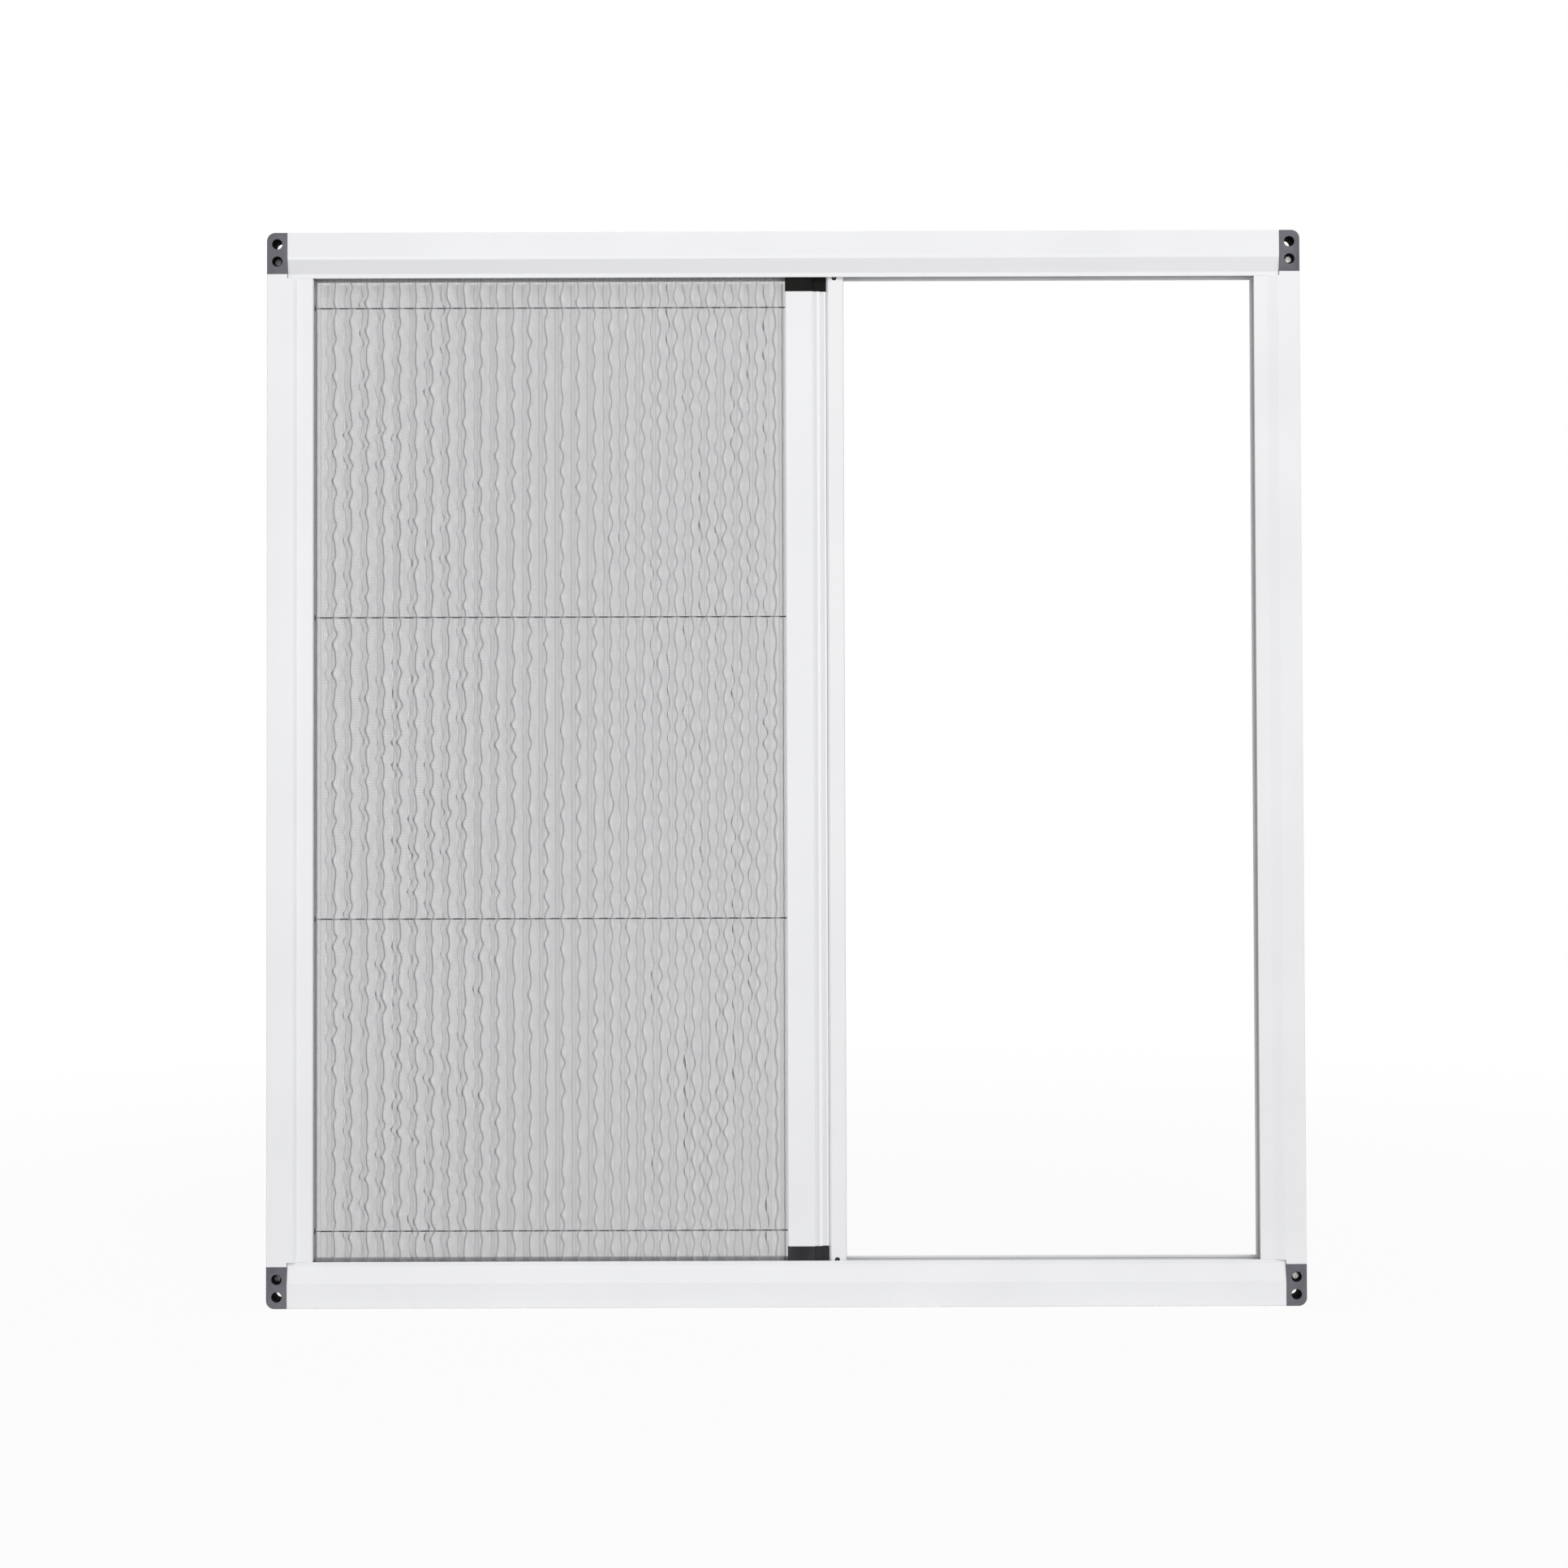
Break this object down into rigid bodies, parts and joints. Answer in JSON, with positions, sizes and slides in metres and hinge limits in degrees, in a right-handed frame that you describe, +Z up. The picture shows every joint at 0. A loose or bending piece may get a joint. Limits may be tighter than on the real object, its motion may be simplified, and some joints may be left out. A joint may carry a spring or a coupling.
{
  "type": "pleated window insect screen",
  "caption": "White aluminium window frame with a pleated insect screen pulled across by an upright bar, tensioned by cords, with grey moulded corner connectors.",
  "frame": {"origin": "centre of the frame's outer box", "axes": "+X to the closing jamb, +Y to the back face that meets the wall, +Z up"},
  "size_m": [0.85, 0.024, 0.882],
  "materials": {
    "white_aluminium": "white powder coat, satin",
    "white_plastic": "extruded white plastic",
    "grey_plastic": "moulded dark grey plastic, fine grain",
    "black_plastic": "moulded black plastic",
    "screw_steel": "zinc plated",
    "black_steel": "blackened",
    "magnet": "flexible magnet strip",
    "mesh": "pleated woven net",
    "cord": "braided cord"
  },
  "bodies": {
    "frame": {"bottom_rail": "white_aluminium", "cord_anchor_bottom": "black_plastic", "cord_anchor_top": "black_plastic", "cord_plug_1": "black_plastic", "cord_plug_2": "black_plastic", "cord_plug_3": "black_plastic", "cord_plug_4": "black_plastic", "cord_return_1": "cord", "cord_return_2": "cord", "cord_return_3": "cord", "cord_return_4": "cord", "cord_span_1": "cord", "cord_span_2": "cord", "cord_span_3": "cord", "cord_span_4": "cord", "corner_bottom_left": "grey_plastic", "corner_bottom_right": "grey_plastic", "corner_screw_bottom_left": "screw_steel", "corner_screw_bottom_right": "screw_steel", "corner_screw_top_left": "screw_steel", "corner_screw_top_right": "screw_steel", "corner_top_left": "grey_plastic", "corner_top_right": "grey_plastic", "jamb_magnet_strip": "magnet", "left_jamb": "white_aluminium", "mesh_holder_left": "white_plastic", "pleated_mesh": "mesh", "right_jamb": "white_aluminium", "top_rail": "white_aluminium"},
    "bar": {"bar_cap_bottom": "black_plastic", "bar_cap_top": "black_plastic", "bar_magnet_strip": "magnet", "bar_nose": "white_aluminium", "cord_riser_1": "cord", "cord_riser_2": "cord", "cord_riser_3": "cord", "cord_riser_4": "cord", "mesh_holder_bar": "white_plastic", "nose_plug_bottom": "black_plastic", "nose_plug_top": "black_plastic", "nose_screw_bottom": "black_steel", "nose_screw_top": "black_steel", "pull_bar": "white_aluminium"}
  },
  "joints": [
    {"name": "bar_slide", "type": "slide", "parent": "frame", "child": "bar", "axis": [1, 0, 0], "range_m": [-0.35, 0.356], "deforming": ["pleated_mesh", "cord_span_1", "cord_span_2", "cord_span_3", "cord_span_4", "cord_return_1", "cord_return_2", "cord_return_3", "cord_return_4"]}
  ]
}
